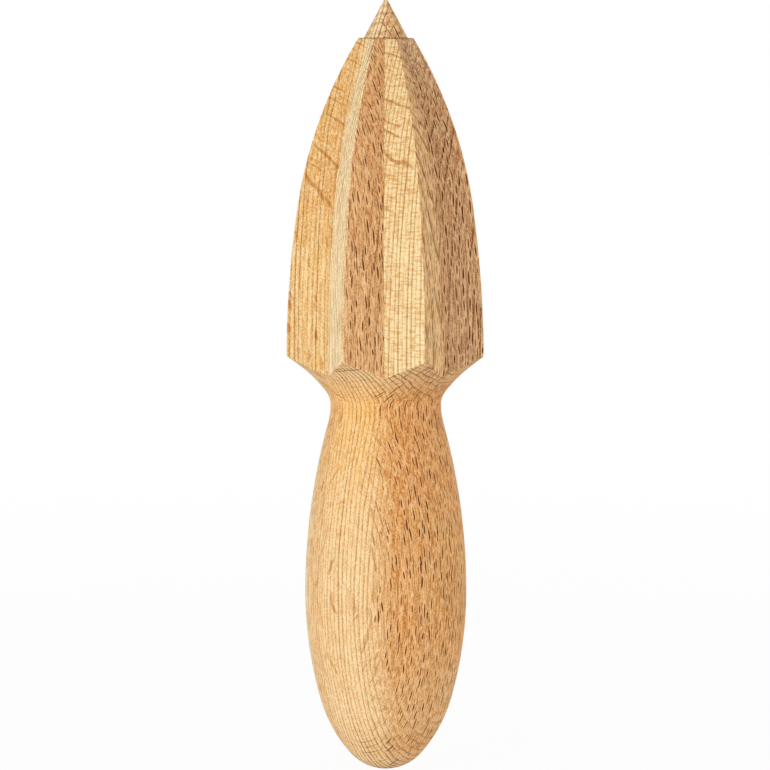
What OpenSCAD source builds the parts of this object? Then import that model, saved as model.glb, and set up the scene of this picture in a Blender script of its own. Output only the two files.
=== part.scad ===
// Wooden citrus reamer, turned from one billet of beech and then milled: a fluted cone
// for a head, a hard point, a narrow neck with a deep cove and a plump handle.
// Millimetres. The turned axis is Z, the butt's lowest point is at the origin and the
// point is at the top.

/* [Handle] */
// Radius of the handle at its fullest
handle_r = 17.95; // [16:0.05:20]
// Height of the fullest place above the butt
belly_h = 40.1; // [36:0.1:46]
// Radius of the side's bow below the fullest place
low_side_r = 89; // [75:1:120]
// Height at which the side starts to turn in towards the butt
butt_turn_h = 16; // [13:0.5:22]
// Radius of the rounded end of the butt
butt_end_r = 10.6; // [7:0.1:12]

/* [Neck] */
// Height of the neck's narrowest place above the butt
neck_h = 82; // [76:0.1:95]
// Radius of the neck at its narrowest
neck_r = 12.25; // [10.5:0.05:13.5]
// Radius of the hollow that leads from the neck down into the handle
throat_r = 15.7; // [10:0.1:28]
// Radius of the tight hollow just above the neck's narrowest place
cove_r = 5; // [3:0.1:6]
// How far round the tight hollow runs before the flare takes over, in degrees
cove_turn = 37; // [30:0.5:42]
// Radius of the long hollow that flares out under the head
flare_r = 30.5; // [26:0.5:42]

/* [Head] */
// Radius over the crests at the head's fullest
head_r = 23.4; // [20:0.05:26]
// Height of the head's fullest place above the neck
rim_rise = 10; // [7:0.1:12]
// Length from the head's fullest place to the shoulder under the point
head_len = 70.8; // [62:0.1:84]
// Length of the lower, flatter bow of the head's side
low_bow_len = 33; // [28:0.1:40]
// Radius of that lower bow
low_bow_r = 222; // [180:1:300]
// Radius over the crests at the shoulder
shoulder_r = 6.5; // [5.5:0.1:8]
// Rounding of the rim, where the head's side meets the flare
rim_round = 0.9; // [0.4:0.1:1.2]
// Rounding of the shoulder's edge
shoulder_round = 0.5; // [0.2:0.1:0.8]

/* [Flutes] */
// Number of flutes
flutes = 8; // [6:1:10]
// Angle between the two sides of a flute, in degrees
flute_angle = 130; // [118:1:136]
// Width of the narrow land that sanding leaves along each crest
land_w = 0.3; // [0.15:0.05:0.8]

/* [Point] */
// Width of the flat step between the flutes' floors and the point
tip_step = 0.12; // [0.1:0.02:0.6]
// Angle between the point's side and the axis, in degrees
tip_angle = 28.2; // [24:0.1:33]
// Radius of the point's rounded end
tip_round = 0.5; // [0.3:0.05:0.9]

/* [Hidden] */
$fn = 240;

// Arcs that would only touch are drawn this much too large, so that they cross
lap = 0.004;
// How far a cut runs on past the wood
over = 1;
// Reach of the shapes that are trimmed afterwards
stock_r = head_r + 2;

// Heights along the axis
rim_h = neck_h + rim_rise;
bow_end_h = rim_h + low_bow_len;
shoulder_h = rim_h + head_len;

function unit(v) = v / norm(v);

// Where the circle round a meets the circle round b, to the right of the way from a to b
function crossing(a, ra, b, rb) =
    let (d = norm(b - a), along = (ra * ra - rb * rb + d * d) / (2 * d), way = (b - a) / d)
    a + along * way + sqrt(ra * ra - along * along) * [way[1], -way[0]];

// Radius of an arc that leaves point p towards its centre along way, and ends on point q
function arc_through(p, way, q) = (q - p) * (q - p) / (2 * (q - p) * way);

// Handle's bow above the belly: it touches the throat's hollow, which opens at the neck
waist_drop = handle_r - neck_r;
waist_h = neck_h - belly_h;
bow_r = (waist_drop * waist_drop + waist_h * waist_h) / (2 * waist_drop) - throat_r;
bow_c = [handle_r - bow_r, belly_h];
throat_c = [neck_r + throat_r, neck_h];
throat_start = bow_c + bow_r * unit(throat_c - bow_c);

// Handle below the belly: its bow, then a middle arc that leads into the rounded end
side_drop = belly_h - butt_turn_h;
low_side_c = [handle_r - low_side_r, belly_h];
end_c = [0, butt_end_r];
turn_p = low_side_c + [sqrt(pow(low_side_r, 2) - pow(side_drop, 2)), -side_drop];
turn_way = unit(low_side_c - turn_p);
turn_w = turn_p - end_c;
turn_r = (turn_w * turn_w - pow(butt_end_r, 2)) / (-2 * (turn_w * turn_way + butt_end_r));
turn_c = turn_p + turn_r * turn_way;
end_p = turn_c + turn_r * unit(end_c - turn_c);

// Cove: the tight hollow at the neck hands over to the flare at flare_p
cove_c = [neck_r + cove_r, neck_h];
cove_way = [cos(cove_turn), -sin(cove_turn)];
flare_p = cove_c - cove_r * cove_way;
flare_c = flare_p + flare_r * cove_way;

// Head's side: a flat lower bow, then a rounder one that ends on the shoulder
low_c = [head_r - low_bow_r, rim_h];
bow_end = low_c + [sqrt(pow(low_bow_r, 2) - pow(low_bow_len, 2)), low_bow_len];
up_way = unit(low_c - bow_end);
up_r = arc_through(bow_end, up_way, [shoulder_r, shoulder_h]);
up_c = bow_end + up_r * up_way;

// Rim's rounding touches the lower bow and the flare
rim_c = crossing(flare_c, flare_r + rim_round, low_c, low_bow_r - rim_round);
rim_side = low_c + low_bow_r * unit(rim_c - low_c);
rim_under = flare_c + flare_r * unit(rim_c - flare_c);

// Shoulder's rounding touches the upper bow and the flat
edge_h = shoulder_h - shoulder_round;
edge_c = [up_c[0] + sqrt(pow(up_r - shoulder_round, 2) - pow(edge_h - up_c[1], 2)), edge_h];
edge_side = up_c + up_r * unit(edge_c - up_c);

// A flute's side stands at offset x from the axis, measured square to it. Two neighbouring
// sides would meet on a crest just outside the turned wood, which leaves the land.
side_turn = 90 - flute_angle / 2;
crest_cos = cos(side_turn + 180 / flutes);
land_drop = land_w / 2 / tan(flute_angle / 2 - 180 / flutes);
side_x = crest_cos * (head_r + land_drop);
side_top_x = crest_cos * (shoulder_r + land_drop);
side_low_r = low_bow_r / crest_cos;
side_low_c = [side_x - side_low_r, rim_h];
side_bow_end = side_low_c + [sqrt(pow(side_low_r, 2) - pow(low_bow_len, 2)), low_bow_len];
side_way = unit(side_low_c - side_bow_end);
side_up_r = arc_through(side_bow_end, side_way, [side_top_x, shoulder_h]);
side_up_c = side_bow_end + side_up_r * side_way;

// Point: it stands inside the flutes' floors, which reach the shoulder at floor_top_r
floor_top_r = side_top_x / cos(side_turn);
tip_r = floor_top_r - tip_step;
tip_ball_h = shoulder_h + tip_r / tan(tip_angle) - tip_round / sin(tip_angle);
tip_ball_p = [0, tip_ball_h] + tip_round * [cos(tip_angle), sin(tip_angle)];
tip_h = tip_ball_h + tip_round;
echo(length = tip_h, floor_r = side_x / cos(side_turn), tip_r = tip_r);

// Outline between two heights, from the axis out to the arc round c
module inside_arc(c, r, from_h, to_h) {
    intersection() {
        translate([0, from_h]) square([stock_r, to_h - from_h]);
        translate(c) circle(r);
    }
}

module handle_outline() {
    inside_arc(bow_c, bow_r, belly_h, neck_h);
    inside_arc(low_side_c, low_side_r, butt_turn_h, belly_h);
    inside_arc(turn_c, turn_r + lap, end_p[1], belly_h);
    inside_arc(end_c + [0, 2 * lap], butt_end_r + 2 * lap, -over, belly_h);
}

// Head with the block of wood under it, out of which the hollows are turned
module head_outline() {
    inside_arc(low_c, low_bow_r, throat_start[1], bow_end_h);
    inside_arc(up_c, up_r + lap, rim_h, shoulder_h);
}

module point_outline() {
    polygon([
        [0, shoulder_h - over], [tip_r, shoulder_h - over], [tip_r, shoulder_h],
        tip_ball_p, [0, tip_ball_p[1]]
    ]);
    inside_arc([0, tip_ball_h], tip_round + lap, shoulder_h, tip_h + over);
}

// Hollows of the neck: throat below it, tight cove at it, flare above it
module neck_hollows() {
    intersection() {
        square([stock_r + over, neck_h]);
        translate(throat_c) circle(throat_r + lap);
    }
    translate(cove_c) circle(cove_r + 2 * lap);
    translate([cove_c[0], neck_h - over]) square([stock_r, flare_p[1] - neck_h + 2 * over]);
    intersection() {
        translate([0, flare_p[1]]) square([stock_r + over, flare_r]);
        translate(flare_c) circle(flare_r + lap);
    }
}

// Waste outside the rounded rim
module rim_waste() {
    difference() {
        polygon([
            rim_side, rim_side + [over, 0], [rim_side[0] + over, rim_under[1] - over],
            rim_under - [0, over], rim_under
        ]);
        translate(rim_c) circle(rim_round + 3 * lap);
    }
}

// Waste outside the rounded edge of the shoulder
module shoulder_waste() {
    difference() {
        polygon([
            edge_side, edge_side + [over, 0], [edge_side[0] + over, shoulder_h + over],
            [edge_c[0], shoulder_h + over], [edge_c[0], shoulder_h]
        ]);
        translate(edge_c) circle(shoulder_round + 2 * lap);
    }
}

module turned_blank() {
    rotate_extrude() {
        difference() {
            union() {
                handle_outline();
                head_outline();
            }
            neck_hollows();
            rim_waste();
            shoulder_waste();
        }
        point_outline();
    }
}

// All the wood outside one long side of a flute, whose level lines are straight
module side_waste() {
    rotate([90, 0, 0]) linear_extrude(height = 2 * stock_r, center = true) difference() {
        translate([0, neck_h]) square([stock_r, shoulder_h + over - neck_h]);
        inside_arc(side_low_c, side_low_r, 0, bow_end_h);
        inside_arc(side_up_c, side_up_r + lap, 0, tip_h + over);
    }
}

// One flute: it runs out over the shoulder, and the flare trims it to a scallop
module flute() {
    intersection() {
        rotate([0, 0, side_turn]) side_waste();
        rotate([0, 0, -side_turn]) side_waste();
    }
}

// A flute faces the front
module reamer() {
    color("burlywood") difference() {
        turned_blank();
        for (i = [0 : flutes - 1]) rotate([0, 0, 360 / flutes * i - 90]) flute();
    }
}

reamer();
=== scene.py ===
# %% [markdown]
# # A wooden citrus reamer
#
# The real thing is one billet of beech. It was turned on a lathe to a smooth outline,
# and a V-shaped cutter then ran eight straight flutes up its head. Modelling it by
# hand or with subdivision would soften the crisp crests, so this lesson works out the
# surface from the turner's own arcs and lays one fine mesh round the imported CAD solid.
# Then it gives the mesh timber that is solid all the way through, and lights it on
# white.

# %% Load the fixed frame
import math

import bpy
import numpy as np
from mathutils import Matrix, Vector


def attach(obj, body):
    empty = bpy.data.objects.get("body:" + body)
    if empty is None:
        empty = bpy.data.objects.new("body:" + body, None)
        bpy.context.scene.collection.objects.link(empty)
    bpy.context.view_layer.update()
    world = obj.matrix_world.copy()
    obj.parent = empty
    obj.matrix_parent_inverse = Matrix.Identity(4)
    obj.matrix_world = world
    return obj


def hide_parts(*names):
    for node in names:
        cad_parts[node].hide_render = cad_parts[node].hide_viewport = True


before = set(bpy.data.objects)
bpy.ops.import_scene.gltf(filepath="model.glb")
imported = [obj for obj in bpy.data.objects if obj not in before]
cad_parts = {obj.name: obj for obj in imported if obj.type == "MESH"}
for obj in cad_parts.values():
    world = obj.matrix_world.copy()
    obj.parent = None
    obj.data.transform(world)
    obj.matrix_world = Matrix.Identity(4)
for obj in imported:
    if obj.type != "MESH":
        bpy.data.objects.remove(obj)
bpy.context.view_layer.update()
print("CAD nodes:", len(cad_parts))

# %% [markdown]
# ## Sizes of the turning
#
# A turner works from a template of arcs that run into each other. It could be traced
# as a Bezier curve, but then the arcs would only be close. Here each arc has its own
# radius, in millimetres, and the centres are worked out so that one arc begins where
# the last ends and in the same direction. No step shows in the wood then. Heights
# count up from the butt, and radii from the turned axis.

# %% Sizes of the turning, in millimetres
HANDLE_R, BELLY_H = 17.95, 40.1  # the handle at its fullest
LOW_SIDE_R = 89.0  # bow of its side below that
BUTT_TURN_H, BUTT_END_R = 16.0, 10.6  # where the side turns in, and the rounded end
NECK_H, NECK_R = 82.0, 12.25  # the narrowest place
THROAT_R = 15.7  # hollow below the neck
COVE_R, COVE_TURN = 5.0, math.radians(37)  # tight hollow above it, and how far it runs
FLARE_R = 30.5  # long hollow under the head
HEAD_R, RIM_RISE, HEAD_LEN = 23.4, 10.0, 70.8
LOW_BOW_LEN, LOW_BOW_R = 33.0, 222.0  # flatter lower bow of the head
SHOULDER_R, RIM_ROUND, SHOULDER_ROUND = 6.5, 0.9, 0.5
RIM_H = NECK_H + RIM_RISE
SHOULDER_H = RIM_H + HEAD_LEN
print(f"belly {BELLY_H}, neck {NECK_H}, rim {RIM_H} and shoulder {SHOULDER_H:.1f} mm up")

# %% [markdown]
# ## The handle
#
# The handle swells in one long bow from the neck down to its fullest place, and a
# second bow leads on towards the butt. A middle arc joins that bow to the rounded end.
# Two circles touch where the line through their centres meets them, and that gives
# every point where one arc hands over to the next.

# %% Arcs above the belly
def unit(v):
    return v / np.linalg.norm(v)


waist_drop, waist_h = HANDLE_R - NECK_R, NECK_H - BELLY_H
bow_r = (waist_drop**2 + waist_h**2) / (2 * waist_drop) - THROAT_R
bow_c = np.array([HANDLE_R - bow_r, BELLY_H])
throat_c = np.array([NECK_R + THROAT_R, NECK_H])
throat_start = bow_c + bow_r * unit(throat_c - bow_c)
print(f"handle's long bow: radius {bow_r:.1f} mm, up to {throat_start[1]:.1f} mm")

# %% Arcs below the belly
side_drop = BELLY_H - BUTT_TURN_H
low_side_c = np.array([HANDLE_R - LOW_SIDE_R, BELLY_H])
end_c = np.array([0, BUTT_END_R])
turn_p = low_side_c + np.array([math.sqrt(LOW_SIDE_R**2 - side_drop**2), -side_drop])
turn_way, turn_w = unit(low_side_c - turn_p), turn_p - end_c
turn_r = (turn_w @ turn_w - BUTT_END_R**2) / (-2 * (turn_w @ turn_way + BUTT_END_R))
turn_c = turn_p + turn_r * turn_way
end_p = turn_c + turn_r * unit(end_c - turn_c)
print(f"arc into the butt: radius {turn_r:.1f} mm, from {end_p[1]:.1f} mm up")

# %% [markdown]
# ## The neck and the flare
#
# Just above its narrowest place the neck turns out in a tight hollow, the cove, which
# the turner cuts with the corner of the tool. After a third of a right angle or so, a
# much larger hollow takes over and flares out under the head.

# %% Arcs of the cove and the flare
cove_c = np.array([NECK_R + COVE_R, NECK_H])
cove_way = np.array([math.cos(COVE_TURN), -math.sin(COVE_TURN)])
flare_p = cove_c - COVE_R * cove_way
flare_c = flare_p + FLARE_R * cove_way
print(f"the flare begins {flare_p[1]:.1f} mm up, {flare_p[0]:.1f} mm from the axis")

# %% [markdown]
# ## The head's side
#
# Seen from the side, the head is a pointed arch. Its edge is almost straight above the
# rim and rounds in towards the shoulder, so it is two bows. The rim and the shoulder
# get small rounded edges, whose centres stand where two larger circles cross.

# %% Helpers for bows and rounded edges
def crossing(a, ra, b, rb):
    """Where two circles cross, to the right of the way from a to b."""
    d = np.linalg.norm(b - a)
    along = (ra**2 - rb**2 + d**2) / (2 * d)
    way = (b - a) / d
    return a + along * way + math.sqrt(ra**2 - along**2) * np.array([way[1], -way[0]])


def arc_through(p, way, q):
    """Radius of an arc that leaves p with its centre along way, and ends on q."""
    return (q - p) @ (q - p) / (2 * (q - p) @ way)


def two_bows(low_x, low_r, top_x):
    """A flat lower bow from the rim up, then a rounder one that ends at the shoulder."""
    low_c = np.array([low_x - low_r, RIM_H])
    meet = low_c + np.array([math.sqrt(low_r**2 - LOW_BOW_LEN**2), LOW_BOW_LEN])
    way = unit(low_c - meet)
    up_r = arc_through(meet, way, np.array([top_x, SHOULDER_H]))
    return (low_c, low_r), (meet + up_r * way, up_r), meet[1]


(low_c, low_r), (up_c, up_r), bow_end_h = two_bows(HEAD_R, LOW_BOW_R, SHOULDER_R)
print(f"head's upper bow: radius {up_r:.1f} mm, from {bow_end_h:.1f} mm up")

# %% Arcs of the rim and the shoulder
rim_c = crossing(flare_c, FLARE_R + RIM_ROUND, low_c, low_r - RIM_ROUND)
rim_side = low_c + low_r * unit(rim_c - low_c)
rim_under = flare_c + FLARE_R * unit(rim_c - flare_c)
edge_h = SHOULDER_H - SHOULDER_ROUND
edge_reach = math.sqrt((up_r - SHOULDER_ROUND) ** 2 - (edge_h - up_c[1]) ** 2)
edge_c = np.array([up_c[0] + edge_reach, edge_h])
edge_side = up_c + up_r * unit(edge_c - up_c)
print(f"the rim's edge is rounded from {rim_under[1]:.2f} to {rim_side[1]:.2f} mm")

# %% Radius of the turned wood at any height
# Each arc: the height where it ends, its centre, its radius, +1 for a bulge, -1 for a hollow
ARCS = [
    (end_p[1], end_c, BUTT_END_R, 1),
    (BUTT_TURN_H, turn_c, turn_r, 1),
    (BELLY_H, low_side_c, LOW_SIDE_R, 1),
    (throat_start[1], bow_c, bow_r, 1),
    (NECK_H, throat_c, THROAT_R, -1),
    (flare_p[1], cove_c, COVE_R, -1),
    (rim_under[1], flare_c, FLARE_R, -1),
    (rim_side[1], rim_c, RIM_ROUND, 1),
    (bow_end_h, low_c, low_r, 1),
    (edge_side[1], up_c, up_r, 1),
    (SHOULDER_H, edge_c, SHOULDER_ROUND, 1),
]


def turned_radius(h):
    """Radius of the turned wood at each height in the array h, up to the shoulder."""
    h = np.asarray(h, float)
    out = np.zeros_like(h)
    start = -1.0
    for end, c, r, bulge in ARCS:
        here = (h > start) & (h <= end + 1e-9)
        out[here] = c[0] + bulge * np.sqrt(np.maximum(r**2 - (h[here] - c[1]) ** 2, 0))
        start = end
    return out


print("radius at belly, neck and rim:", turned_radius([BELLY_H, NECK_H, RIM_H]).round(2))

# %% [markdown]
# ## The flutes
#
# A flute has two flat-looking sides that meet in a sharp floor. Cutting them with
# Boolean modifiers would work, but it leaves long thin faces that shade badly. Seen
# from the point, each side is a straight line that stands at some distance from the
# axis, so a formula gives the same cut. The distance follows the same two bows as the
# turned outline, only smaller, and the crest between two flutes keeps the same narrow
# land from rim to shoulder.

# %% Distance of a flute's side from the axis
FLUTES, FLUTE_ANGLE, LAND_W = 8, math.radians(130), 0.3
side_turn = math.pi / 2 - FLUTE_ANGLE / 2
half_step = math.pi / FLUTES
crest_cos = math.cos(side_turn + half_step)
land_drop = LAND_W / 2 / math.tan(FLUTE_ANGLE / 2 - half_step)
(side_low_c, side_low_r), (side_up_c, side_up_r), _ = two_bows(
    crest_cos * (HEAD_R + land_drop),
    LOW_BOW_R / crest_cos,
    crest_cos * (SHOULDER_R + land_drop),
)


def side_distance(h):
    low = np.sqrt(np.maximum(side_low_r**2 - (h - side_low_c[1]) ** 2, 0))
    high = np.sqrt(np.maximum(side_up_r**2 - (h - side_up_c[1]) ** 2, 0))
    return np.where(h <= bow_end_h, side_low_c[0] + low, side_up_c[0] + high)


def flute_radius(h, turn):
    """Radius to a flute's side, turn radians round from the flute's floor."""
    return side_distance(h) / np.cos(side_turn + turn)


floor_r = float(side_distance(np.array(RIM_H)) / math.cos(side_turn))
print(f"flute floor {floor_r:.2f} mm from the axis at the rim")

# %% [markdown]
# ## Columns of the mesh
#
# A lathe is a good model for the mesh as well: every vertex has a height and a turn
# round the axis, so rows and columns are enough. Even columns would need to be very
# many to hold a sharp line, so they crowd together at the floors and the crests
# instead, and each such line has its own column.

# %% Columns round the axis
half_step_deg = 180 / FLUTES
floor_side = np.array([0, 0.3, 0.7, 1.3, 2.2, 3.5, 5.0, 6.7, 8.4, 10.1, 11.8])
from_crest = np.array([9.0, 7.3, 5.8, 4.4, 3.3, 2.4, 1.7, 1.2, 0.8, 0.5, 0.22, 0])
half = np.concatenate([floor_side, half_step_deg - from_crest]) / half_step_deg * half_step
turns = np.concatenate([-half[:0:-1], half[:-1]])
columns = (np.arange(FLUTES)[:, None] * 2 * half_step + turns[None, :]).ravel()
fold = np.abs(np.tile(turns, FLUTES))  # each column's turn from its own flute's floor
print("columns:", len(columns))

# %% [markdown]
# ## The scalloped edge
#
# A flute runs out where its side leaves the wood at the turned flare. Its floor is
# nearest to the axis, so it meets the flare lowest, and the eight flutes give a
# scalloped edge. It is found one column at a time, by walking up the flare.

# %% Height of the scalloped edge
def scallop_height(turn):
    """Where the flare meets the flute's side, going up one column."""
    h = np.linspace(flare_p[1], rim_c[1], 400)
    inside = turned_radius(h) < flute_radius(h, turn)
    return h[np.argmin(inside)] if not inside.all() else h[-1]


scallops = np.array([scallop_height(t) for t in fold])
print(f"scalloped edge runs from {scallops.min():.2f} to {scallops.max():.2f} mm")

# %% [markdown]
# ## Rows of the mesh
#
# The rows follow the scalloped edge up and down, with ten of them packed across it, so
# that edge is as clean as a cut one. They are also close at the butt and at the
# shoulder, where the outline turns quickly.

# %% Rows along the axis
CREASE = 0.5  # the rows within this height of the scalloped edge lie close together, mm
BUTT_ROWS_H, HEAD_ROWS_H = 8.0, 97.0  # heights where one set of rows hands over
EDGE_ROWS = 0.3  # the rows within this height of the shoulder's edge lie close, mm


def spread(n, power=1.0):
    """n steps from 0 up to, but without, 1."""
    return (np.arange(n) / n) ** power


def rows_between(low, high, n):
    """n heights from low up to, but without, high."""
    return low + (high - low) * spread(n)


def column_heights(scallop):
    butt = BUTT_END_R * 0.8 * (1 - np.cos(spread(16) * math.pi / 2))[1:]
    edge_low = edge_side[1] - EDGE_ROWS
    return np.concatenate([
        butt,
        rows_between(BUTT_ROWS_H, NECK_H, 70),
        rows_between(NECK_H, scallop - CREASE, 16),
        rows_between(scallop - CREASE, scallop + CREASE, 10),
        rows_between(scallop + CREASE, HEAD_ROWS_H, 8),
        rows_between(HEAD_ROWS_H, edge_low, 78),
        edge_low + (SHOULDER_H - edge_low) * np.append(spread(8, 0.8), 1.0),
    ])


heights = np.array([column_heights(s) for s in scallops]).T
print("rows up to the shoulder:", len(heights))

# %% [markdown]
# ## Sandpaper
#
# Sanding takes the sharpness off the real wood. A bevel modifier could do it, but its
# width is hard to hold where three surfaces meet. Here the smaller of two radii wins,
# the turned one or the flute's, and the two are blended over a quarter of a millimetre
# where they cross. Every edge catches a thin line of light then, as real ones do.

# %% Radii of the body
SANDED = 0.26  # width over which two surfaces blend at an edge, mm
FLOOR_SOFT = 0.10  # the same at a flute's floor, mm


def soft_less(a, b, k):
    """The smaller of a and b, rounded where they cross over a width k."""
    t = np.clip(0.5 + 0.5 * (b - a) / k, 0, 1)
    return b * (1 - t) + a * t - k * t * (1 - t)


floor_turn = FLOOR_SOFT / floor_r
soft_fold = np.sqrt(fold**2 + floor_turn**2) - floor_turn / 2
turned = turned_radius(heights)
fluted = flute_radius(heights, soft_fold[None, :])
head = heights > NECK_H
radii = np.where(head, soft_less(turned, fluted, SANDED), turned)
print(f"body's radii: {radii.min():.2f} to {radii.max():.2f} mm")

# %% [markdown]
# ## The point
#
# The hard cone at the tip breaks the fruit's skin. It stands on a flat shoulder, just
# inside the floors of the flutes, and its end is rounded. It is turned too, so more
# rows on the same columns make it, and no seam has to be closed.

# %% Rows of the shoulder and the point
TIP_STEP, TIP_ANGLE, TIP_ROUND = 0.12, math.radians(28.2), 0.5
FOOT_RISE, FOOT_OUT, FOOT_IN = 0.12, 0.08, 0.04  # hollow at the foot of the cone, mm
tip_r = float(side_distance(np.array(SHOULDER_H)) / math.cos(side_turn)) - TIP_STEP
ball_h = SHOULDER_H + tip_r / math.tan(TIP_ANGLE) - TIP_ROUND / math.sin(TIP_ANGLE)
ball_top = ball_h + TIP_ROUND * math.sin(TIP_ANGLE)
tip_h = ball_h + TIP_ROUND
cone_h = SHOULDER_H + (ball_top - SHOULDER_H) * np.append(spread(22), 1.0)[1:]
cone_r = tip_r - (cone_h - SHOULDER_H) * math.tan(TIP_ANGLE)
ball_turn = TIP_ANGLE + (math.pi / 2 - TIP_ANGLE) * spread(5)[1:]
point_h = np.concatenate([
    [SHOULDER_H, SHOULDER_H + FOOT_RISE], cone_h, ball_h + TIP_ROUND * np.sin(ball_turn)])
point_r = np.concatenate([
    [tip_r + FOOT_OUT, tip_r - FOOT_IN], cone_r, TIP_ROUND * np.cos(ball_turn)])
print(f"overall length {tip_h:.1f} mm")

# %% [markdown]
# ## The mesh
#
# All rows are stacked, from the butt through the shoulder to the tip, and joined with
# four-sided faces; a fan of triangles closes each end. The timber has to know later
# where the cutter has been, because a milled face is drier and paler than an oiled,
# turned one. So each vertex carries the number 1 or 0, in an attribute called milled.

# %% Place the vertices
shoulder_step = (radii[-1][None, :] + tip_r + FOOT_OUT) / 2
shoulder_row = np.full((1, len(columns)), SHOULDER_H)
all_h = np.vstack([heights, shoulder_row, np.repeat(point_h[:, None], len(columns), 1)])
all_r = np.vstack([radii, shoulder_step, np.repeat(point_r[:, None], len(columns), 1)])
front = -math.pi / 2  # the first flute faces the front, along -Y
x = all_r * np.cos(columns + front)
y = all_r * np.sin(columns + front)
grid = np.stack([x, y, all_h], axis=-1).reshape(-1, 3) / 1000
verts = np.vstack([grid, [[0, 0, 0]], [[0, 0, tip_h / 1000]]])
print("vertices:", len(verts))

# %% Join them with faces
n_rows, n_cols = all_r.shape
butt_v, tip_v = len(grid), len(grid) + 1
faces = []
for row in range(n_rows - 1):
    for col in range(n_cols):
        nxt = (col + 1) % n_cols
        a, b = row * n_cols + col, row * n_cols + nxt
        faces.append((a, b, b + n_cols, a + n_cols))
last = (n_rows - 1) * n_cols
for col in range(n_cols):
    nxt = (col + 1) % n_cols
    faces.append((butt_v, nxt, col))
    faces.append((last + col, last + nxt, tip_v))
print("faces:", len(faces))

# %% Make the object, and mark where the cutter has been
mesh = bpy.data.meshes.new("reamer_wood")
mesh.from_pydata(verts.tolist(), [], faces)
mesh.validate()
mesh.polygons.foreach_set("use_smooth", [True] * len(mesh.polygons))
cut_rows = np.where(head & (fluted < turned), 1.0, 0.0)
tip_rows = np.zeros((n_rows - len(cut_rows), n_cols))
milled_share = np.concatenate([cut_rows.ravel(), tip_rows.ravel(), [0.0, 0.0]])
mesh.attributes.new("milled", "FLOAT", "POINT").data.foreach_set("value", milled_share)
reamer = bpy.data.objects.new("reamer_wood", mesh)
bpy.context.scene.collection.objects.link(reamer)
print(f"{milled_share.mean():.0%} of the vertices are milled")

# %% [markdown]
# ## Timber
#
# Beech looks different on each side because its figure runs through the wood. A
# picture wrapped round the mesh would show seams and bend wrongly at the crests, so
# the colour is worked out from the place in the billet, and a few places of painted
# light and painted shade are set the same way. This takes many small nodes. They are
# added in code, with a few helpers that read almost like arithmetic, and each effect is
# a node group with named inputs and outputs.

# %% Start a node group
def new_group(name, inputs, outputs):
    """A shader node group with named sockets: inputs are (name, type, default)."""
    group = bpy.data.node_groups.new(name, "ShaderNodeTree")
    for label, kind, value in inputs:
        socket = group.interface.new_socket(
            label, in_out="INPUT", socket_type=f"NodeSocket{kind}")
        if value is not None:
            socket.default_value = value
    for label, kind in outputs:
        group.interface.new_socket(label, in_out="OUTPUT", socket_type=f"NodeSocket{kind}")
    start, end = group.nodes.new("NodeGroupInput"), group.nodes.new("NodeGroupOutput")
    return group, start.outputs, end.inputs


def say_group(group):
    print(f"node group '{group.name}': {len(group.nodes)} nodes")


print("helpers for groups: new_group, say_group")

# %% Add a node
def plug(tree, source, socket):
    """Links a socket, or sets a number, vector or colour."""
    if isinstance(source, bpy.types.NodeSocket):
        tree.links.new(source, socket)
    elif source is not None:
        socket.default_value = source


def put_node(tree, kind, *sources, **settings):
    """Adds a node and fills its inputs in order."""
    node = tree.nodes.new(f"ShaderNode{kind}")
    for key, value in settings.items():
        setattr(node, key, value)
    for source, socket in zip(sources, [s for s in node.inputs if s.enabled]):
        plug(tree, source, socket)
    return node


def put(tree, kind, *sources, **settings):
    """The same, but gives the node's first output."""
    return next(s for s in put_node(tree, kind, *sources, **settings).outputs if s.enabled)


print("helpers for nodes: plug, put_node, put")

# %% Arithmetic with nodes
def calc(tree, operation, *sources):
    return put(tree, "Math", *sources, operation=operation)


def plus(tree, *values):
    out = values[0]
    for value in values[1:]:
        out = calc(tree, "ADD", out, value)
    return out


def times(tree, *values):
    out = values[0]
    for value in values[1:]:
        out = calc(tree, "MULTIPLY", out, value)
    return out


def ramp(tree, value, low, high):
    """0 below low, 1 above high, smooth between."""
    return put(tree, "MapRange", value, low, high, 0.0, 1.0, interpolation_type="SMOOTHSTEP")


def fall(tree, value, low, high):
    """1 below low, 0 above high, smooth between."""
    return put(tree, "MapRange", value, low, high, 1.0, 0.0, interpolation_type="SMOOTHSTEP")


def hump(tree, value, up_low, up_high, down_low, down_high):
    """0, then 1 between up_high and down_low, then 0 again."""
    up, down = ramp(tree, value, up_low, up_high), fall(tree, value, down_low, down_high)
    return times(tree, up, down)


def length(tree, *sides):
    """Length of a vector whose sides are given."""
    return calc(tree, "SQRT", plus(tree, *(times(tree, side, side) for side in sides)))


print("helpers for node arithmetic: calc, plus, times, ramp, fall, hump, length")

# %% [markdown]
# ## Directions in the billet
#
# Three directions matter in timber: along the grain, which is the turned axis here,
# across the growth rings, and across the rays. The group turns a place on the object
# into millimetres in these directions. It also tells how far a surface faces along the
# rings' direction or along the grain, because that decides which figure shows there.

# %% Directions in the billet
RING_WAY = math.radians(60)  # the growth rings face this far round from the front


def along(tree, vector, way):
    """How far a vector reaches in one direction."""
    return put_node(tree, "VectorMath", vector, way, operation="DOT_PRODUCT").outputs["Value"]


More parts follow.
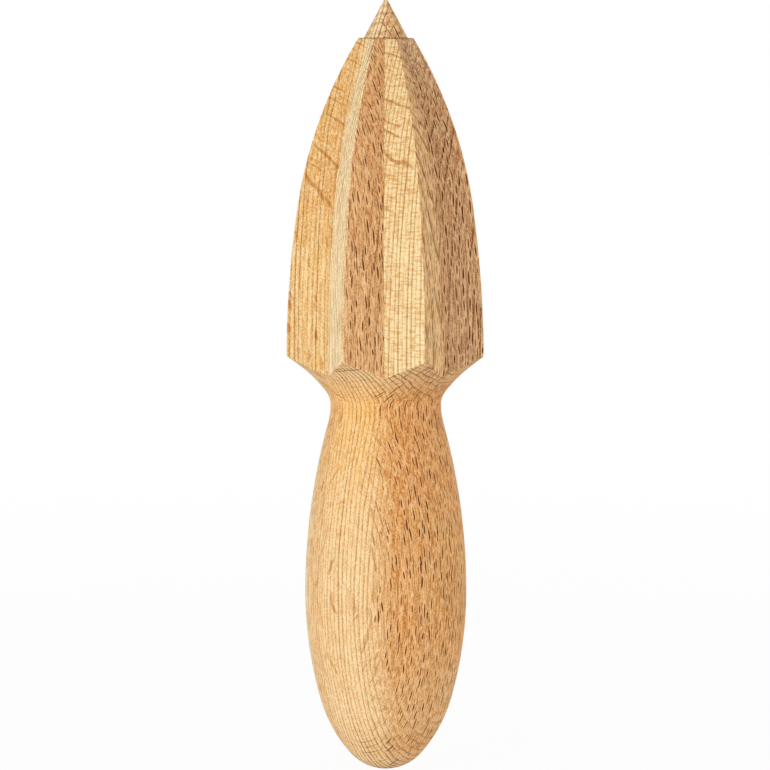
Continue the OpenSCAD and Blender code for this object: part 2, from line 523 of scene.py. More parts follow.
def billet_group():
    group, given, result = new_group(
        "billet directions",
        [("Place", "Vector", None), ("Facing", "Vector", None)],
        [("Timber", "Vector"), ("Ring Face", "Float"), ("End Face", "Float")])
    across_rings = (math.sin(RING_WAY), -math.cos(RING_WAY), 0)
    across_rays = (-math.cos(RING_WAY), -math.sin(RING_WAY), 0)
    mm = put(group, "VectorMath", given["Place"], (1000, 1000, 1000), operation="MULTIPLY")
    timber = put(group, "CombineXYZ", along(group, mm, across_rings),
                 along(group, mm, across_rays), along(group, mm, (0, 0, 1)))
    ring_facing = calc(group, "ABSOLUTE", along(group, given["Facing"], across_rings))
    end_facing = calc(group, "ABSOLUTE", along(group, given["Facing"], (0, 0, 1)))
    group.links.new(timber, result["Timber"])
    group.links.new(times(group, ring_facing, ring_facing), result["Ring Face"])
    group.links.new(end_facing, result["End Face"])
    return group


billet = billet_group()
say_group(billet)

# %% [markdown]
# ## Growth rings
#
# A tree adds one ring a year, pale at first and darker at its end. Wave Texture draws
# rings, but all alike, so the group counts years out from the pith instead: the whole
# part of the count gives each year a tone of its own, and the rest tells how far
# through the year the wood is. Two noises bend the rings a little, one slowly and one
# quickly, as real growth does.

# %% Noise at the timber's own scale
def stretch(tree, vector, scale):
    return put(tree, "VectorMath", vector, scale, operation="MULTIPLY")


def noise(tree, vector, detail):
    texture = put_node(tree, "TexNoise", vector)
    texture.inputs["Scale"].default_value = 1.0
    plug(tree, detail, texture.inputs["Detail"])
    return texture.outputs[0]


print("helpers for textures: stretch, noise")

# %% Growth rings
SLOW_BEND, QUICK_BEND = (0.05, 0.05, 0.012), (0.4, 0.3, 0.03)  # turns of noise per mm
SLOW_SHIFT, QUICK_SHIFT = 3.0, 0.9  # how far each bends a ring, mm
MIDDLE_BACK = 3.0  # the rings up to this far behind the axis have their full width, mm
CLOSER = 0.92  # and the older ones behind them this much of it
YEARS = 200.0  # keeps the count above zero


def ring_group():
    group, given, result = new_group(
        "growth rings",
        [("Timber", "Vector", None), ("Ring Width", "Float", 1.0),
         ("Pith Distance", "Float", 90.0), ("Waviness", "Float", 1.0)],
        [("Late Wood", "Float"), ("Edge", "Float"), ("Fine Edge", "Float"),
         ("Shade", "Float"), ("Year Tone", "Float")])
    bends = []
    for scale, shift in ((SLOW_BEND, SLOW_SHIFT), (QUICK_BEND, QUICK_SHIFT)):
        wave = noise(group, stretch(group, given["Timber"], scale), detail=1.0)
        bends.append(times(group, calc(group, "SUBTRACT", wave, 0.5), shift))
    bend = times(group, plus(group, *bends), given["Waviness"])
    parts = put_node(group, "SeparateXYZ", given["Timber"]).outputs
    reach = length(group, plus(group, parts["X"], given["Pith Distance"]), parts["Y"])
    middle = calc(group, "SUBTRACT", given["Pith Distance"], MIDDLE_BACK)
    from_middle = calc(group, "SUBTRACT", plus(group, reach, bend), middle)
    outer = calc(group, "DIVIDE", calc(group, "MAXIMUM", from_middle, 0.0), given["Ring Width"])
    inner = calc(group, "DIVIDE", calc(group, "MINIMUM", from_middle, 0.0),
                 times(group, given["Ring Width"], CLOSER))
    years = plus(group, outer, inner, YEARS)
    phase = calc(group, "FRACT", years)
    year = put(group, "TexWhiteNoise", calc(group, "FLOOR", years), noise_dimensions="1D")
    group.links.new(hump(group, phase, 0.5, 0.86, 0.9, 1.0), result["Late Wood"])
    group.links.new(hump(group, phase, 0.66, 0.84, 0.9, 1.0), result["Edge"])
    group.links.new(hump(group, phase, 0.78, 0.9, 0.92, 0.99), result["Fine Edge"])
    group.links.new(hump(group, phase, 0.0, 0.85, 0.85, 1.0), result["Shade"])
    group.links.new(year, result["Year Tone"])
    return group


rings = ring_group()
say_group(rings)

# %% [markdown]
# ## Rays
#
# Rays are thin sheets of cells that run out from the pith, like the pages of a book.
# Beech has large ones: cut along, they are the flecks, and cut across, the short dark
# dashes. Voronoi Texture scatters cells through the wood, and a flat lens is drawn
# round the middle of each, long across the rings and thin across the rays. The same
# lens gives a fleck on one face and a dash on another, with no rule for either.

# %% Rays
CELL_TALL = 1.4  # a cell is this much taller than its ray
LENS_LONG, LENS_TALL = 1.5, 2.8  # how much of its cell a ray leaves free
SIZE_LEAST, SIZE_RANGE = 0.5, 0.85  # rays differ in size


def ray_group():
    group, given, result = new_group(
        "rays",
        [("Timber", "Vector", None), ("Length", "Float", 8.0), ("Height", "Float", 2.0),
         ("Thickness", "Float", 0.32), ("Spacing", "Float", 0.95),
         ("Wobble", "Float", 1.0), ("Seed", "Float", 0.0)],
        [("Ray", "Float"), ("Rim", "Float"), ("Ray Tone", "Float")])
    parts = put_node(group, "SeparateXYZ", given["Timber"]).outputs
    wobble = noise(group, stretch(group, given["Timber"], (0.12, 0.2, 0.14)), detail=2.0)
    across = plus(group, parts["Y"], times(group, wobble, given["Wobble"]))
    cells = put(
        group, "CombineXYZ",
        plus(group, calc(group, "DIVIDE", parts["X"], given["Length"]), given["Seed"]),
        calc(group, "DIVIDE", across, given["Spacing"]),
        calc(group, "DIVIDE", parts["Z"], times(group, given["Height"], CELL_TALL)))
    voronoi = put_node(group, "TexVoronoi", cells, feature="F1")
    voronoi.inputs["Scale"].default_value = 1.0
    voronoi.inputs["Randomness"].default_value = 0.95
    tone = put_node(group, "SeparateColor", voronoi.outputs["Color"]).outputs
    gap = put(group, "VectorMath", cells, voronoi.outputs["Position"], operation="SUBTRACT")
    off = put_node(group, "SeparateXYZ", gap).outputs
    size = plus(group, SIZE_LEAST, times(group, tone[1], SIZE_RANGE))
    thin = calc(group, "DIVIDE", times(group, given["Spacing"], 2.0), given["Thickness"])
    near = length(group,
                  calc(group, "DIVIDE", times(group, off["X"], LENS_LONG), size),
                  calc(group, "DIVIDE", times(group, off["Z"], LENS_TALL), size),
                  times(group, off["Y"], thin))
    group.links.new(fall(group, near, 0.82, 1.12), result["Ray"])
    group.links.new(hump(group, near, 1.0, 1.35, 1.8, 2.6), result["Rim"])
    group.links.new(tone[0], result["Ray Tone"])
    return group


rays = ray_group()
say_group(rays)

# %% [markdown]
# ## Streaks
#
# Noise that is stretched along one direction gives the fine broken grain of a sanded
# face, the silky weave on faces along the rays, and slow clouds of colour. One group
# does all three. Its inputs say how long the streaks are in each direction, in
# millimetres, which is easier to judge than a texture's scale.

# %% Streaks
def per_mm(tree, *sizes):
    """A vector that turns millimetres into turns of a texture."""
    return put(tree, "CombineXYZ", *(calc(tree, "DIVIDE", 1.0, size) for size in sizes))


def streak_group():
    group, given, result = new_group(
        "streaks",
        [("Timber", "Vector", None), ("Ring Way", "Float", 0.36), ("Ray Way", "Float", 0.36),
         ("Grain Way", "Float", 1.1), ("Detail", "Float", 1.0)],
        [("Streak", "Float")])
    scale = per_mm(group, given["Ring Way"], given["Ray Way"], given["Grain Way"])
    scaled = stretch(group, given["Timber"], scale)
    group.links.new(noise(group, scaled, given["Detail"]), result["Streak"])
    return group


streaks = streak_group()
say_group(streaks)

# %% [markdown]
# ## Bundles of fibres
#
# Seen close, sanded wood is made of slim bundles of fibres, each a little lighter or
# darker than the next. Noise is too smooth for that, so long thin Voronoi cells are
# used, with one tone for each cell. A slow drift keeps them from being dead straight.

# %% Bundles of fibres
def bundle_group():
    group, given, result = new_group(
        "fibre bundles",
        [("Timber", "Vector", None), ("Width", "Float", 0.3), ("Length", "Float", 3.0),
         ("Sway", "Float", 0.5)],
        [("Tone", "Float")])
    drift = put_node(group, "TexNoise", stretch(group, given["Timber"], (0.3, 0.3, 0.15)))
    drift.inputs["Scale"].default_value = 1.0
    drift.inputs["Detail"].default_value = 1.0
    moved = put_node(group, "VectorMath", drift.outputs["Color"], operation="SCALE")
    group.links.new(given["Sway"], moved.inputs["Scale"])
    bent = put(group, "VectorMath", given["Timber"], moved.outputs[0], operation="ADD")
    scale = per_mm(group, given["Width"], given["Width"], given["Length"])
    voronoi = put_node(group, "TexVoronoi", stretch(group, bent, scale))
    voronoi.inputs["Scale"].default_value = 1.0
    tone = put_node(group, "SeparateColor", voronoi.outputs["Color"])
    group.links.new(tone.outputs[0], result["Tone"])
    return group


bundles = bundle_group()
say_group(bundles)

# %% [markdown]
# ## The finish
#
# The wood is sanded fine and wiped with oil, which leaves it pale and satin. One
# material does the whole reamer, because it is one piece of wood. It starts with the
# directions in the billet at each place, and with the mark that tells milled faces
# from turned ones.

# %% Start the beech
def place_group(tree, group, **inputs):
    """Puts a node group in a material, with its own values."""
    node = tree.nodes.new("ShaderNodeGroup")
    node.node_tree = group
    for name, source in inputs.items():
        plug(tree, source, node.inputs[name.replace("_", " ")])
    return node.outputs


beech = bpy.data.materials.new("beech")
beech.use_nodes = True
tree = beech.node_tree
skin = tree.nodes["Principled BSDF"]
coords = tree.nodes.new("ShaderNodeTexCoord").outputs
dirs = place_group(tree, billet, Place=coords["Object"], Facing=coords["Normal"])
timber = dirs["Timber"]
place = put_node(tree, "SeparateXYZ", timber).outputs
ring_way, ray_way, height = place["X"], place["Y"], place["Z"]  # mm from the axis and butt
cut_mark = tree.nodes.new("ShaderNodeAttribute")
cut_mark.attribute_name = "milled"
milled = cut_mark.outputs["Fac"]
print("material:", beech.name)

# %% [markdown]
# ## Masks
#
# A mask is 1 where something holds and 0 where it doesn't. Multiplied masks mean
# "and", the larger of two means "or", and a smooth band between 0 and 1 keeps borders
# soft. The first ones tell faces along the rings from faces along the rays. A milled
# face is flat and turns at a crest, so its band is narrow. A turned face goes round
# slowly, so its band is wide.

# %% Masks for the kinds of face
# How far a surface faces along the rings, from 0 to 1, where each mask sets in and is full
TURNED_BAND, MILLED_BAND, DASH_BAND = (0.02, 0.42), (0.42, 0.58), (0.0, 0.25)
RAY_BAND, STRIP_BAND = (0.15, 0.3), (0.28, 0.36, 0.44, 0.52)
END_BAND = (0.3, 0.7)  # the same along the grain


def rise(value, band):
    return ramp(tree, value, *band)


def drop(value, band):
    return fall(tree, value, *band)


def within(value, band):
    return hump(tree, value, *band)


def all_of(*masks):
    return times(tree, *masks)


def either(a, b):
    return calc(tree, "MAXIMUM", a, b)


def blend(low, high, share):
    """From low at share 0 to high at share 1."""
    return plus(tree, low, times(tree, share, high - low))


facing = dirs["Ring Face"]
end_face = rise(dirs["End Face"], END_BAND)
turned_face = calc(tree, "SUBTRACT", 1.0, milled)
milled_ring = all_of(milled, rise(facing, MILLED_BAND))
ring_face = plus(tree, all_of(turned_face, rise(facing, TURNED_BAND)), milled_ring)
dash_face = plus(tree, all_of(turned_face, rise(facing, DASH_BAND)), milled_ring)
ray_face = calc(tree, "SUBTRACT", 1.0, ring_face)
milled_ray = all_of(milled, drop(facing, RAY_BAND))
strip = all_of(milled, within(facing, STRIP_BAND))
print("nodes for the masks:", len(tree.nodes))

# %% [markdown]
# ## Ground colour
#
# Faces along the rays are palest, and faces along the rings are browner. The cutter
# leaves milled faces a little drier and greyer than the oiled, turned ones. Both
# colours are mixed first, and everything else is laid over them, as a stain or as
# lighter wood.

# %% Ground colour of each kind of face
PALE, DRY_PALE = (0.98, 0.67, 0.34, 1), (0.98, 0.77, 0.415, 1)
BROWN, DRY_BROWN = (0.75, 0.34, 0.09, 1), (0.76, 0.405, 0.175, 1)
CREAM = (1.0, 0.86, 0.57, 1)
BROWN_WAY = (-9.0, -1.0)  # the billet turns browner over this stretch, mm
SQUARE_ON = (0.72, 0.92)  # facings that are almost square on to the rings


def mix(share, ground, colour):
    """Lays a colour over the ground."""
    node = tree.nodes.new("ShaderNodeMix")
    node.data_type = "RGBA"
    for source, socket in zip((share, ground, colour), (node.inputs[i] for i in (0, 6, 7))):
        plug(tree, source, socket)
    return node.outputs[2]


pale, brown = mix(milled, PALE, DRY_PALE), mix(milled, BROWN, DRY_BROWN)
ground = mix(all_of(ring_face, blend(0.3, 1.0, rise(ring_way, BROWN_WAY))), pale, brown)
ground = mix(all_of(milled, rise(facing, SQUARE_ON), 0.5), ground, DRY_PALE)
ground = mix(all_of(strip, 0.8), ground, CREAM)
print("nodes with the ground colour:", len(tree.nodes))

# %% [markdown]
# ## Lighter and darker places
#
# No billet has one colour. This one is more golden at the neck, on its left side and
# towards the top of the head, where the faces along the rings are also darker as painted
# shade. Painted shade makes the right side of the head darker and greyer. Painted light
# makes the wood lighter low on the handle, at the butt, under the rim and at the point,
# most on its left, and a painted highlight runs along the handle's left edge. The figure
# doesn't say so: these places, and how strong they are, were tuned to the photograph's
# colours. Each place gets a stain or some cream, with wide soft borders, so that none of
# them reads as paint. A stain multiplies, so the ground still shows through it.

# %% Stains and painted light on the handle and the neck
NECK_STAIN = (1.0, 0.85, 0.53, 1)
# Heights in mm where a place sets in, is full, starts to fade and has gone
NECK_PLACE, LOW_PLACE = (50.0, 84.0, 84.0, 91.0), (2.0, 12.0, 12.0, 35.0)
RIM_PLACE, BUTT_PLACE = (85.0, 89.0, 95.0, 100.0), (1.0, 9.0)
LEFT_SIDE, LEFT_BACK = (-14.5, -8.5), (1.0, 7.0)  # mm across the rings and the rays


def stain(ground, share, colour):
    """Darkens the ground towards a stain, as oil or late wood does, and at a few places as
    painted shade.
    """
    out = mix(share, ground, colour)
    out.node.blend_type = "MULTIPLY"
    return out


neck_share = all_of(turned_face, within(height, NECK_PLACE))
ground = stain(ground, all_of(neck_share, blend(1.0, 0.35, ring_face)), NECK_STAIN)
# Painted light from below: the low handle is made creamier.
ground = mix(all_of(within(height, LOW_PLACE), 0.25), ground, CREAM)
# Painted highlight: the handle's left edge, towards the lamps on the left, is made creamier.
left_edge_highlight = all_of(turned_face, drop(ring_way, LEFT_SIDE), rise(ray_way, LEFT_BACK))
ground = mix(all_of(left_edge_highlight, 0.85), ground, CREAM)
# Painted light on the butt, which faces down: it is made creamier still.
ground = mix(all_of(drop(height, BUTT_PLACE), 0.5), ground, CREAM)
# Painted light: the turned wood under the rim, in the head's shade, is made creamier.
under_rim = all_of(turned_face, ring_face, within(height, RIM_PLACE))
ground = mix(all_of(under_rim, 0.25), ground, CREAM)
print("nodes with the handle's stains:", len(tree.nodes))

# %% Stains, painted shade and painted light on the head and the point
GOLD_TONE_AND_SHADE, RIGHT_SHADE_COLOUR = (0.91, 0.745, 0.53, 1), (0.75, 0.75, 0.89, 1)
UPPER_PLACE, POINT_PLACE = (110.0, 135.0), (162.5, 163.5)  # heights, mm
LEFT_HALF, POINT_LEFT, RIGHT_SHADE_BAND = (-3.5, -1.5), (-1.5, 1.5), (2.0, 6.0)  # across, mm
CLOUDS = (0.45, 0.65)
upper = rise(height, UPPER_PLACE)
left_share = drop(ring_way, LEFT_HALF)
gold_share = either(left_share, all_of(upper, 0.35))
ground = stain(ground, all_of(milled_ray, gold_share), GOLD_TONE_AND_SHADE)
ground = stain(ground, all_of(milled_ray, left_share, upper, 0.5), GOLD_TONE_AND_SHADE)
# Partly painted shade: faces along the rings are made darker and more golden towards the top of
# the head.
ground = stain(ground, all_of(milled, ring_face, upper, 0.45), GOLD_TONE_AND_SHADE)
# The point is creamier, and painted light makes its left side creamier still.
point_share = blend(0.35, 0.6, drop(ring_way, POINT_LEFT))
ground = mix(all_of(rise(height, POINT_PLACE), point_share), ground, CREAM)
# Painted shade: milled faces on the right side of the head are made darker and greyer.
off_ray_middle = calc(tree, "ABSOLUTE", ray_way)
right_side_shade = all_of(milled, drop(off_ray_middle, RIGHT_SHADE_BAND), rise(ring_way, RIGHT_SHADE_BAND))
ground = stain(ground, right_side_shade, RIGHT_SHADE_COLOUR)
cloud = place_group(tree, streaks, Timber=timber, Ring_Way=6.0, Ray_Way=9.0,
                    Grain_Way=30.0, Detail=2.0)["Streak"]
ground = stain(ground, all_of(rise(cloud, CLOUDS), 0.22), GOLD_TONE_AND_SHADE)
print("nodes with the head's stains:", len(tree.nodes))

# %% [markdown]
# ## Ring lines
#
# The dark end of each year is a fine line on faces along the rays. Where the wood is
# cut across, under the rim and at the butt, the lines are sharpest, and on a milled
# face along the rings they spread into arches. The years differ, so the year's tone
# sets how dark a line is, and the fibres break it up. The arches are drawn weaker on
# the back half, where they looked too busy at full strength.

# %% Ring lines along the grain
LINE_STAIN = (0.45, 0.27, 0.09, 1)
ring = place_group(tree, rings, Timber=timber, Ring_Width=1.0, Pith_Distance=90.0,
                   Waviness=1.0)
fibre = place_group(tree, bundles, Timber=timber, Width=0.22, Length=5.0, Sway=0.8)["Tone"]
year_tone = ring["Year Tone"]
line = all_of(ring["Late Wood"], blend(0.25, 1.0, year_tone), blend(0.75, 1.2, fibre))
ground = stain(ground, all_of(line, blend(1.0, 0.3, ring_face)), LINE_STAIN)
print("nodes with the ring lines:", len(tree.nodes))

# %% Rings on the end grain
EDGE_STAIN, WARM_STAIN = (0.28, 0.17, 0.07, 1), (0.66, 0.42, 0.20, 1)
UNDER_RIM, HANDLE_END = (87.0, 90.0), (40.0, 60.0)  # heights, mm
edge = ring["Edge"]
sharpest = either(rise(height, UNDER_RIM), drop(height, HANDLE_END))
end_place = blend(0.45, 1.0, sharpest)
end_line = all_of(blend(0.35, 0.9, year_tone), end_face, end_place)
ground = stain(ground, all_of(edge, end_line), WARM_STAIN)
ground = stain(ground, all_of(edge, edge, end_line), EDGE_STAIN)
print("nodes with the end grain:", len(tree.nodes))

# %% Arches on the milled faces
FRONT_HALF, RIGHT_SIDE = (-4.0, 2.0), (5.5, 8.5)  # mm across the rings
RING_ON, RIGHT_ON = (0.8, 0.9), (0.5, 0.55)  # how far a face has to face the rings
CONE_PLACE = (162.6, 163.0)  # heights, mm
front_share = rise(ring_way, FRONT_HALF)
right_face = all_of(rise(facing, RIGHT_ON), rise(ring_way, RIGHT_SIDE))
arches = all_of(milled, either(rise(facing, RING_ON), right_face))
arches = either(arches, all_of(rise(height, CONE_PLACE), 0.3))
arches = all_of(arches, blend(0.4, 1.0, year_tone), blend(0.3, 1.0, front_share))
ground = stain(ground, all_of(edge, arches), WARM_STAIN)
ground = stain(ground, all_of(ring["Fine Edge"], arches), EDGE_STAIN)
print("nodes with the arches:", len(tree.nodes))

# %% [markdown]
# ## Marks round the point
#
# The point is turned, and the tool leaves faint wavy rings on it. A thin dark line is
# painted in the corner where the cone stands on the shoulder, as painted shade. Both
# could be cut into the mesh, but they are finer than a tenth of a millimetre, so colour
# will do.

# %% Tool marks and painted shade at the cone's foot
MARK_STEP, MARK_WANDER, MARK_BAND = 2.1, 3.0, (0.55, 0.75, 0.8, 0.95)
MARKS_FROM = (162.9, 163.2)
FOOT_SHADE_H, FOOT_SHADE_WIDTH = 162.85, (0.08, 0.3)
wander = noise(tree, stretch(tree, timber, (0.9, 0.9, 0.3)), detail=1.0)
mark_h = plus(tree, height, all_of(wander, MARK_WANDER))
mark_phase = calc(tree, "FRACT", calc(tree, "DIVIDE", mark_h, MARK_STEP))
marks = all_of(within(mark_phase, MARK_BAND), rise(height, MARKS_FROM))
ground = stain(ground, all_of(marks, 0.8), WARM_STAIN)
# Painted shade: a thin dark line in the corner at the cone's foot.
off_foot_shade = calc(tree, "ABSOLUTE", calc(tree, "SUBTRACT", height, FOOT_SHADE_H))
ground = stain(ground, all_of(drop(off_foot_shade, FOOT_SHADE_WIDTH), 0.7), LINE_STAIN)
print("nodes with the point's marks:", len(tree.nodes))

# %% [markdown]
# ## Fibres
#
# Fibres are what makes the surface read as wood when it is seen close. Dark bundles
# stain the ground and light ones lift it, and a fine grit of broken streaks does the
# same at a smaller scale. Browner faces get more contrast. The turned handle gets a
# little less than the head, because oil evens it out.

# %% Bundles of fibres
FIBRE_STAIN, TAN = (0.60, 0.43, 0.22, 1), (0.98, 0.71, 0.38, 1)
DARK_TONES, LIGHT_TONES = (0.1, 0.55), (0.5, 1.0)
FAR_RIGHT, NOT_SQUARE = (9.0, 13.0), (0.75, 0.85)
ground = stain(ground, all_of(ring["Shade"], ring_face, 0.22), FIBRE_STAIN)
right_calm = all_of(milled, rise(ring_way, FAR_RIGHT), drop(facing, NOT_SQUARE))
calm = blend(1.0, 0.8, right_calm)
# The fibres are calmer and less tan on the painted highlight along the handle's left edge.
oiled_calm = all_of(calm, blend(0.86, 1.0, milled), blend(1.0, 0.7, left_edge_highlight))
light_fibre = mix(all_of(ring_face, blend(1.0, 0.2, left_edge_highlight)), CREAM, TAN)
dark_share = plus(tree, blend(0.36, 0.65, ring_face), all_of(strip, 0.3))
light_share = plus(tree, blend(0.38, 0.44, ring_face), all_of(strip, 0.5))
dark_bundles = all_of(drop(fibre, DARK_TONES), dark_share, oiled_calm)
light_bundles = all_of(rise(fibre, LIGHT_TONES), light_share, oiled_calm)
ground = stain(ground, dark_bundles, FIBRE_STAIN)
ground = mix(light_bundles, ground, light_fibre)
print("nodes with the bundles:", len(tree.nodes))

# %% Grit and weave
FLECK_STAIN = (0.80, 0.52, 0.30, 1)
DARK_GRIT, LIGHT_GRIT, WEAVE = (0.36, 0.5), (0.52, 0.66), (0.5, 0.65)
WEAVE_WAY = (0.0, 4.0)
grit = place_group(tree, streaks, Timber=timber, Ring_Way=0.24, Ray_Way=0.24,
                   Grain_Way=0.42, Detail=0.0)["Streak"]
weave = place_group(tree, streaks, Timber=timber, Ring_Way=2.6, Ray_Way=0.3,
                    Grain_Way=0.4, Detail=0.0)["Streak"]
dark_grit = all_of(drop(grit, DARK_GRIT), blend(0.34, 0.32, ring_face), calm)
light_grit = all_of(rise(grit, LIGHT_GRIT), 0.28, calm)
woven = all_of(ray_face, milled, blend(0.1, 0.55, rise(ring_way, WEAVE_WAY)))
ground = stain(ground, dark_grit, FIBRE_STAIN)
ground = mix(light_grit, ground, light_fibre)
ground = stain(ground, all_of(rise(weave, WEAVE), woven), FLECK_STAIN)
print("nodes with the grit:", len(tree.nodes))

# %% [markdown]
# ## Flecks
#
# On faces along the rays, a ray is laid open as a fleck: a soft satin patch that runs
# across the grain. A few wide sheets give the bold curved flecks near the top of the
# head. A ray's thickness follows the way the surface faces: thin where it is laid open,
# and thicker where it is cut across.

# %% Flecks
SHEET_STAIN = (0.60, 0.38, 0.18, 1)
SHEETS_FROM, BREAKS = (112.0, 124.0), (0.4, 0.55)
plate_share = either(facing, all_of(end_face, 0.6))
thick_cut = all_of(plate_share, milled, 0.02)
ray = place_group(
    tree, rays, Timber=timber, Height=2.7, Spacing=1.2,
    Thickness=plus(tree, blend(0.10, 0.37, plate_share), thick_cut))
sheet = place_group(tree, rays, Timber=timber, Length=16.0, Height=6.0, Spacing=1.6,
                    Thickness=blend(0.14, 0.18, milled), Wobble=0.8, Seed=3.7)
sheet_place = either(turned_face, either(left_share, rise(height, SHEETS_FROM)))
broken = blend(0.35, 1.0, rise(grit, BREAKS))
sheets = all_of(sheet["Ray"], sheet_place, blend(0.9, 0.3, ring_face), broken)
ground = stain(ground, sheets, SHEET_STAIN)
cut_rays = calc(tree, "MINIMUM", plus(tree, dash_face, all_of(end_face, 0.8)), 1.0)
flecks = all_of(ray["Ray"], calc(tree, "SUBTRACT", 1.0, cut_rays),
                blend(0.2, 0.7, drop(ring_way, FRONT_HALF)), blend(0.6, 1.0, milled))
ground = stain(ground, flecks, FLECK_STAIN)
print("nodes with the flecks:", len(tree.nodes))

# %% [markdown]
# ## Dashes
#
# On faces along the rings the same rays are cut across, and show as short dark dashes
# along the grain. Each is stained twice: a warm brown first, then a darker one by the
# square of the share, so a faint dash stays warm and only a strong one goes dark.
# Small dashes come first, and large ones with a light rim lie over them. Both are
# drawn weaker towards the back and the far right, again to keep those sides calm.

# %% Dashes
RAY_STAIN = (0.32, 0.19, 0.05, 1)
FAR_SIDE = (-11.0, -4.0)  # mm across the rays
small_ray = place_group(
    tree, rays, Timber=timber, Length=4.0, Height=1.5, Spacing=0.8, Seed=7.3,
    Thickness=plus(tree, blend(0.08, 0.18, plate_share), thick_cut))
far_side = blend(0.6, 1.0, rise(ray_way, FAR_SIDE))
small_share = all_of(small_ray["Ray"], cut_rays, blend(-0.15, 0.9, small_ray["Ray Tone"]),
                     blend(0.7, 1.0, front_share), far_side)
ray_share = all_of(ray["Ray"], cut_rays, blend(0.6, 1.15, ray["Ray Tone"]),
                   blend(0.75, 1.0, front_share), far_side)
ground = stain(ground, small_share, WARM_STAIN)
ground = stain(ground, all_of(small_share, small_share), RAY_STAIN)
ground = mix(all_of(ray["Rim"], ring_face, 0.3), ground, TAN)
ground = stain(ground, ray_share, WARM_STAIN)
ground = stain(ground, all_of(ray_share, ray_share), RAY_STAIN)
print("nodes with the dashes:", len(tree.nodes))

# %% [markdown]
# ## Sheen and relief
#
# Oiled beech has a soft sheen and no varnish, so it is rather rough and reflects
# little. Fibres stand up by a few hundredths of a millimetre and rays lie a little
# lower. That is far too fine for the mesh, and is what a Bump node is for.

# %% Sheen and relief
ROUGHNESS, REFLECTION = 0.6, 0.1
RELIEF, RELIEF_SHARE = 0.00005, 0.5  # metres, and how strongly it tilts the surface
tree.links.new(ground, skin.inputs["Base Color"])
skin.inputs["Roughness"].default_value = ROUGHNESS
skin.inputs["Specular IOR Level"].default_value = REFLECTION
bump = tree.nodes.new("ShaderNodeBump")
bump.inputs["Strength"].default_value = RELIEF_SHARE
bump.inputs["Distance"].default_value = RELIEF
tree.links.new(calc(tree, "SUBTRACT", fibre, ray_share), bump.inputs["Height"])
tree.links.new(bump.outputs[0], skin.inputs["Normal"])
mesh.materials.append(beech)
print("nodes in the finished beech:", len(tree.nodes))

# %% [markdown]
# ## Tie the piece to the frame
#
# The mesh takes the place of the plain CAD solid, which stays behind it for contact in
# the simulation. Nothing on a reamer moves, so it rides on the root body.

# %% Tie the piece to the frame
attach(reamer, "root")
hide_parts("reamer")
print("tied to the frame:", reamer.name)

# %% [markdown]
# ## The floor
#
# The photograph has a pure white ground. More light would whiten the floor, but it
# would bleach the wood as well. So the floor is a white sheet that shows itself to the
# camera as plain white, a little less near the reamer, where a trace of its shadow
# stays. For light that falls on the wood, it is ordinary matt paper.

# %% Floor
FLOOR_SIZE = 12.0
half_floor = FLOOR_SIZE / 2
floor_mesh = bpy.data.meshes.new("floor")
corners = [(-1, -1), (1, -1), (1, 1), (-1, 1)]
floor_mesh.from_pydata(
    [(half_floor * i, half_floor * j, 0) for i, j in corners], [], [(0, 1, 2, 3)])
floor = bpy.data.objects.new("floor", floor_mesh)
bpy.context.scene.collection.objects.link(floor)
print(f"floor: {FLOOR_SIZE:.0f} m square")

# %% White paper
NEAR, FAR = 0.06, 0.6  # the shadow fades out between these distances, metres
NEAR_WHITE, FAR_WHITE = 0.95, 1.0
paper = bpy.data.materials.new("white_paper")
paper.use_nodes = True
sheet_tree = paper.node_tree
sheet_tree.nodes.clear()
matt = put(sheet_tree, "BsdfDiffuse", (0.95, 0.95, 0.95, 1))
glow = put(sheet_tree, "Emission")
looked_at = sheet_tree.nodes.new("ShaderNodeLightPath").outputs
seen = calc(sheet_tree, "MAXIMUM", looked_at["Is Camera Ray"], looked_at["Is Glossy Ray"])
floor_spot = sheet_tree.nodes.new("ShaderNodeTexCoord").outputs["Object"]
away = put_node(sheet_tree, "VectorMath", floor_spot, operation="LENGTH").outputs["Value"]
white = put(sheet_tree, "MapRange", away, NEAR, FAR, NEAR_WHITE, FAR_WHITE,
            interpolation_type="SMOOTHSTEP")
surface = put(sheet_tree, "MixShader", times(sheet_tree, seen, white), matt, glow)
paper_end = sheet_tree.nodes.new("ShaderNodeOutputMaterial")
sheet_tree.links.new(surface, paper_end.inputs["Surface"])
floor_mesh.materials.append(paper)
print("material:", paper.name)

# %% [markdown]
# ## The sky
#
# A soft white sky fills the shade at about half strength. The camera sees it at full
# white, so that the picture's ground has no horizon.

# %% Sky
FILL = 0.52
world = bpy.data.worlds.new("soft_white")
bpy.context.scene.world = world
world.use_nodes = True
sky_tree = world.node_tree
sky = sky_tree.nodes["Background"]
sky.inputs["Color"].default_value = (1, 1, 1, 1)
sky_seen = sky_tree.nodes.new("ShaderNodeLightPath").outputs["Is Camera Ray"]
level = put(sky_tree, "MapRange", sky_seen, 0.0, 1.0, FILL, 1.0)
sky_tree.links.new(level, sky.inputs["Strength"])
print(f"sky at {FILL:.0%}")

# %% [markdown]
# ## The lamps
#
# Five wide, soft lamps light the reamer, all at about its own height. The strongest
# stands on the left in front and models the flutes. One on the right opens their shade
# sides, and a weak one far round on the left keeps that edge light. A low one in front
# reaches under the rim and the butt. The last stands behind, for views from the back.
# The photograph shows no lamp, so those in front were tuned until the render's shades
# came close to it.

# %% Lamps
MIDDLE, LOW = (0, 0, 0.086), (0, 0, 0.03)  # what the lamps are aimed at


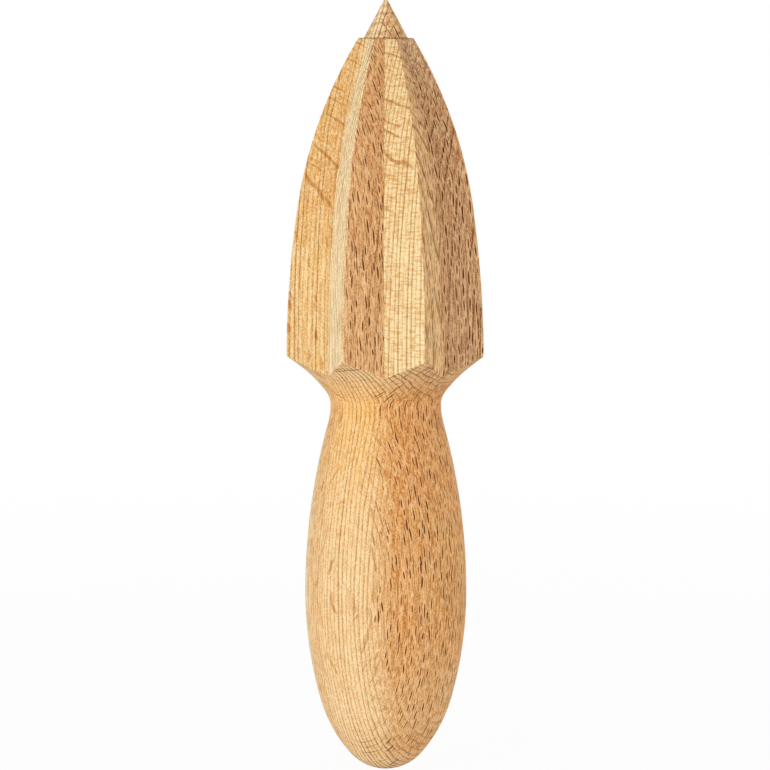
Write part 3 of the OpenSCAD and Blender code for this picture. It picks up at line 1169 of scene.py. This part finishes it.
def lamp(name, place, target, size, watts):
    data = bpy.data.lights.new(name, "AREA")
    data.shape, data.energy = "RECTANGLE", watts
    data.size, data.size_y = size
    obj = bpy.data.objects.new(name, data)
    obj.location = place
    way = Vector(target) - Vector(place)
    obj.rotation_euler = way.to_track_quat("-Z", "Y").to_euler()
    bpy.context.scene.collection.objects.link(obj)
    print(f"{name}: {watts} W, {way.length:.2f} m away")


lamp("key_left", (-1.16, -1.16, 0.24), MIDDLE, (0.9, 0.46), 11.5)
lamp("side_left", (-1.60, 0.30, 0.18), MIDDLE, (0.6, 0.3), 1.6)
lamp("side_right", (1.58, -0.42, 0.14), MIDDLE, (0.9, 0.26), 5.8)
lamp("low_front", (0.66, -1.42, 0.08), LOW, (0.6, 0.12), 4.0)
lamp("back_soft", (0.35, 1.60, 0.26), MIDDLE, (0.9, 0.46), 6.8)

# %% [markdown]
# ## The camera
#
# The photograph was taken a little from above, with the reamer filling the frame from
# top to bottom. How far away the camera stood can't be told from it, so about arm's
# length is assumed. The lens is worked out from how many pixels the object covers at
# that distance, and the small turn from where the crests stand.

# %% Camera
CAMERA_AWAY, CAMERA_LIFT, CAMERA_ROUND = 0.80, math.radians(6.6), math.radians(1.1)
AIM_H = 0.08631  # height that the camera looks at
LENS_PX, FRAME_PX, SENSOR_MM = 3612.4, 770, 36
SIDE_STEP = 0.000177  # the axis stands this far right of the picture's middle
camera_data = bpy.data.cameras.new("camera")
camera_data.sensor_width = SENSOR_MM
camera_data.lens = SENSOR_MM * LENS_PX / FRAME_PX
camera = bpy.data.objects.new("camera", camera_data)
out_way = np.array([math.sin(CAMERA_ROUND), -math.cos(CAMERA_ROUND), 0])
right_way = np.array([math.cos(CAMERA_ROUND), math.sin(CAMERA_ROUND), 0])
stand = CAMERA_AWAY * math.cos(CAMERA_LIFT) * out_way - SIDE_STEP * right_way
camera.location = (stand[0], stand[1], AIM_H + CAMERA_AWAY * math.sin(CAMERA_LIFT))
camera.rotation_euler = (math.pi / 2 - CAMERA_LIFT, 0, CAMERA_ROUND)
bpy.context.scene.collection.objects.link(camera)
bpy.context.scene.camera = camera
bpy.context.scene.view_settings.view_transform = "Standard"
print(f"lens of {camera_data.lens:.0f} mm, {CAMERA_AWAY} m away")
